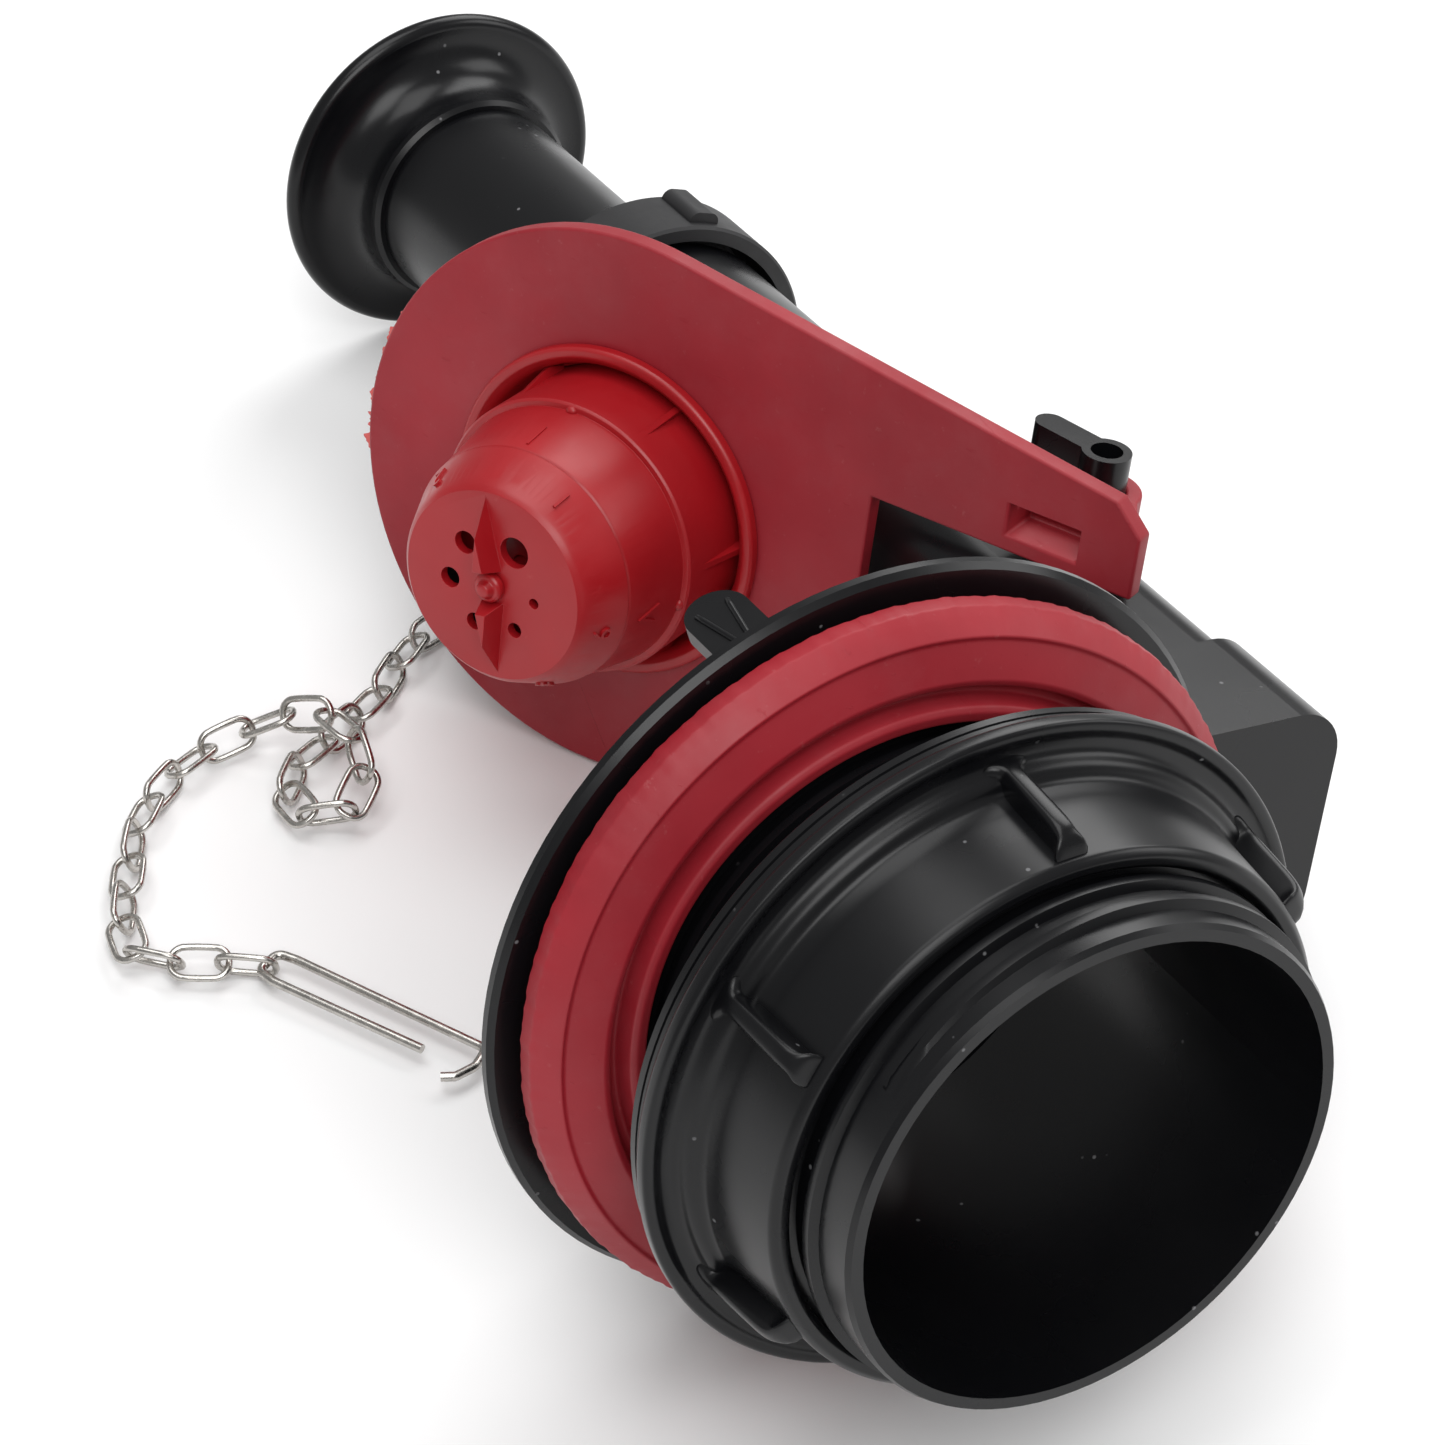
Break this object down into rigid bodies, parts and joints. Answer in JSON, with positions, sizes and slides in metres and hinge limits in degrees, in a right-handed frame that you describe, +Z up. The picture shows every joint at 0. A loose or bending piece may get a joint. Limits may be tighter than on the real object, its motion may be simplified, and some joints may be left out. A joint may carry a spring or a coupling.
{
  "type": "toilet flush valve",
  "caption": "Tank flush valve with red flapper on a side overflow tube, adjustable bleed dial, locknut, gasket and chain.",
  "frame": {"origin": "centre of the object's footprint on the surface it lies on, chain left out", "axes": "+Z up from the surface; +X along the surface from the outlet mouth towards the funnel; the valve's own axis rises 4.5 degrees less than +X"},
  "size_m": [0.3202, 0.1685, 0.1251],
  "materials": {
    "black_plastic": "glossy moulded plastic",
    "matt_black_plastic": "matt moulded plastic",
    "black_rubber": "matt rubber",
    "red_rubber": "satin rubber",
    "red_plastic": "satin moulded plastic",
    "steel": "bright nickel-plated steel wire"
  },
  "bodies": {
    "valve": {"valve_body": "black_plastic", "lower_tube": "black_plastic", "chain_links": "steel", "chain_clip": "steel"},
    "overflow": {"upper_tube": "black_plastic", "overflow_funnel": "black_plastic", "tube_collar": "matt_black_plastic", "tube_seal": "black_rubber"},
    "flap": {"flapper": "red_rubber", "cup_ring": "red_plastic", "bleed_cup": "red_plastic", "dial_rivet": "red_plastic", "dial_seal": "black_rubber", "cup_retainer": "black_plastic", "chain_ring": "steel"},
    "dial": {"bleed_dial": "red_plastic"},
    "gasket": {"tank_gasket": "red_rubber"},
    "washer": {"slip_washer": "black_plastic"},
    "nut": {"locknut": "black_plastic"}
  },
  "joints": [
    {"name": "flapper_hinge", "type": "hinge", "parent": "valve", "child": "flap", "pos_m": [-0.03421, -0.06418, 0.04447], "axis": [0.076, -0.1839, 0.98], "range_deg": [0, 72.3], "deforming": ["chain_links"]},
    {"name": "dial_turn", "type": "hinge", "parent": "flap", "child": "dial", "pos_m": [0.01512, 0.01486, 0.05548], "axis": [-0.4477, 0.8719, 0.1984], "continuous": true},
    {"name": "overflow_slide", "type": "slide", "parent": "valve", "child": "overflow", "axis": [0.997, 0, -0.0773], "range_m": [-0.008, 0.012]},
    {"name": "gasket_slide", "type": "slide", "parent": "valve", "child": "gasket", "axis": [0.997, 0, -0.0773], "range_m": [-0.004, 0.001]},
    {"name": "nut_travel", "type": "slide", "parent": "valve", "child": "washer", "axis": [0.997, 0, -0.0773], "range_m": [-0.01, 0.004]},
    {"name": "nut_turn", "type": "hinge", "parent": "washer", "child": "nut", "pos_m": [-0.13386, 0.01468, 0.06578], "axis": [0.997, 0, -0.0773], "range_deg": [-720, 288]}
  ],
  "couplings": [
    {"joint": "nut_travel", "follows": "nut_turn", "m_per_rad": 0.00079577}
  ]
}
